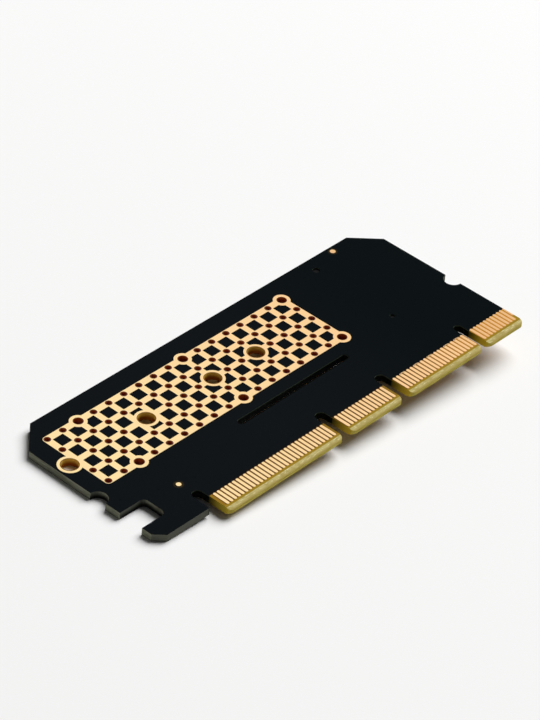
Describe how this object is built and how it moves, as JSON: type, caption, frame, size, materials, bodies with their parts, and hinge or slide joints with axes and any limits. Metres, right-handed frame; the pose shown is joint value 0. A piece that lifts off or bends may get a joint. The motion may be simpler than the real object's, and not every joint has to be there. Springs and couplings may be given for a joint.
{
  "type": "nvme adapter card",
  "caption": "Flat edge card that carries a solid state drive socket on its underside and a bare gold plated copper lattice with screw holes on its upper face.",
  "frame": {"origin": "centre of the key notch, on the contact edge, on the component side face of the board", "axes": "+X along the contact edge to the bracket end, +Y away from the contact edge, +Z out of the solder side"},
  "size_m": [0.0996, 0.0423, 0.0058],
  "materials": {
    "board_laminate": "satin black solder mask over woven glass laminate, bare at the edges",
    "gold_copper": "immersion gold over copper, fine matt",
    "gold_contacts": "gold over copper, satin",
    "socket_plastic": "moulded black",
    "socket_metal": "tin plated copper alloy",
    "capacitor_ceramic": "fired ceramic with tinned ends",
    "resistor_body": "glazed film on ceramic with tinned ends",
    "lamp_resin": "clear pale resin"
  },
  "bodies": {
    "root": {"circuit_board": "board_laminate", "thermal_grid_solder_side": "gold_copper", "thermal_land_component_side": "gold_copper", "edge_contacts_solder_side": "gold_contacts", "edge_contacts_component_side": "gold_contacts", "fiducial_hook_end": "gold_copper", "fiducial_bracket_end": "gold_copper", "m2_socket_housing": "socket_plastic", "m2_socket_front_tails": "socket_metal", "m2_socket_back_tails": "socket_metal", "m2_socket_tab_far": "socket_metal", "m2_socket_tab_near": "socket_metal", "input_capacitor_1": "capacitor_ceramic", "input_capacitor_2": "capacitor_ceramic", "input_capacitor_3": "capacitor_ceramic", "bypass_capacitor_1": "capacitor_ceramic", "bypass_capacitor_2": "capacitor_ceramic", "bypass_capacitor_3": "capacitor_ceramic", "lamp_resistor": "resistor_body", "reset_resistor": "resistor_body", "status_lamp": "lamp_resin"}
  },
  "joints": []
}
